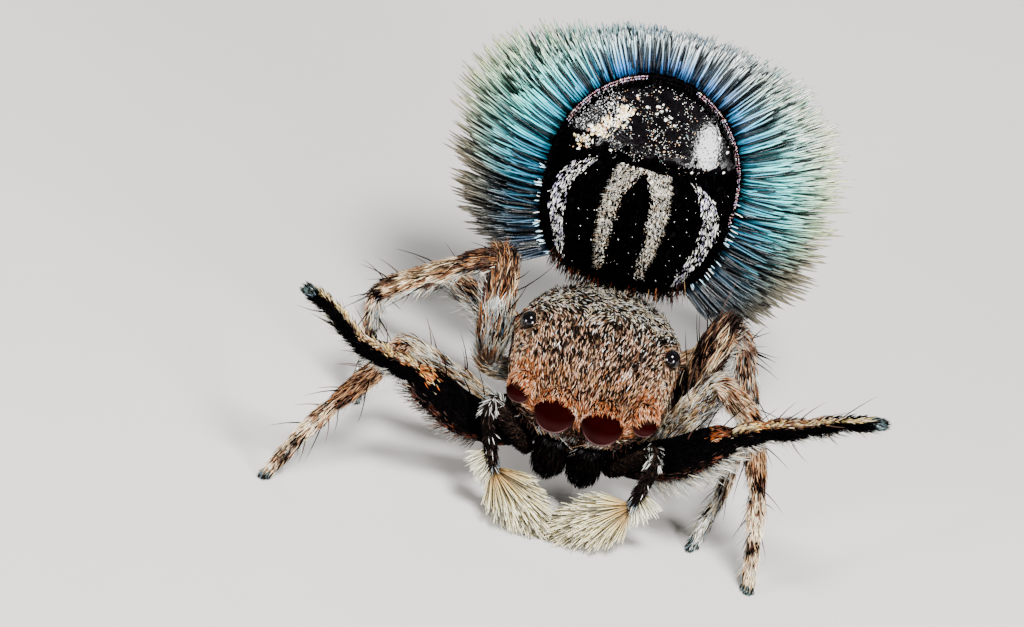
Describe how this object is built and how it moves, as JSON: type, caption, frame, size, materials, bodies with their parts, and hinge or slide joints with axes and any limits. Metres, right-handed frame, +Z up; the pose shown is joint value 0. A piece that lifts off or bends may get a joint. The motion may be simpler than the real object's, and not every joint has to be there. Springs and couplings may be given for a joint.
{
  "type": "peacock spider",
  "caption": "Life-size still model of a male peacock spider in display, its round black abdomen raised inside a fringe of turquoise bristles.",
  "frame": {"origin": "centre of the model's box at floor level, under the middle of the standing spider", "axes": "+Z up, -Y the way the head faces, +X the spider's own left"},
  "size_m": [0.0054, 0.0038, 0.0038],
  "materials": {
    "coat": "matte, short dense hair in black, cream and pink-brown",
    "leg_coat": "matte, streaked cream, grey and brown hair",
    "shell": "gloss",
    "bristles": "satin, stiff turquoise and blue bristles with pale tips",
    "eye": "gloss",
    "palp_hair": "matte, long cream hair"
  },
  "bodies": {
    "root": {"abdomen": "bristles", "abdomen_plate": "shell", "carapace": "coat", "eye_front_middle_left": "eye", "eye_front_middle_right": "eye", "eye_front_side_left": "eye", "eye_front_side_right": "eye", "eye_rear_left": "eye", "eye_rear_right": "eye", "eye_small_left": "eye", "eye_small_right": "eye", "jaw_left": "shell", "jaw_right": "shell", "leg1_left_foot": "leg_coat", "leg1_left_shin": "leg_coat", "leg1_left_thigh": "shell", "leg1_right_foot": "leg_coat", "leg1_right_shin": "leg_coat", "leg1_right_thigh": "shell", "leg2_left_foot": "leg_coat", "leg2_left_shin": "leg_coat", "leg2_left_thigh": "leg_coat", "leg2_right_foot": "leg_coat", "leg2_right_shin": "leg_coat", "leg2_right_thigh": "leg_coat", "leg3_left_foot": "leg_coat", "leg3_left_shin": "leg_coat", "leg3_left_thigh": "leg_coat", "leg3_right_foot": "leg_coat", "leg3_right_shin": "leg_coat", "leg3_right_thigh": "leg_coat", "leg4_left_foot": "leg_coat", "leg4_left_shin": "leg_coat", "leg4_left_thigh": "leg_coat", "leg4_right_foot": "leg_coat", "leg4_right_shin": "leg_coat", "leg4_right_thigh": "leg_coat", "palp_left_arm": "shell", "palp_left_brush": "palp_hair", "palp_right_arm": "shell", "palp_right_brush": "palp_hair", "spinnerets": "leg_coat", "sternum": "shell", "waist": "shell"}
  },
  "joints": []
}
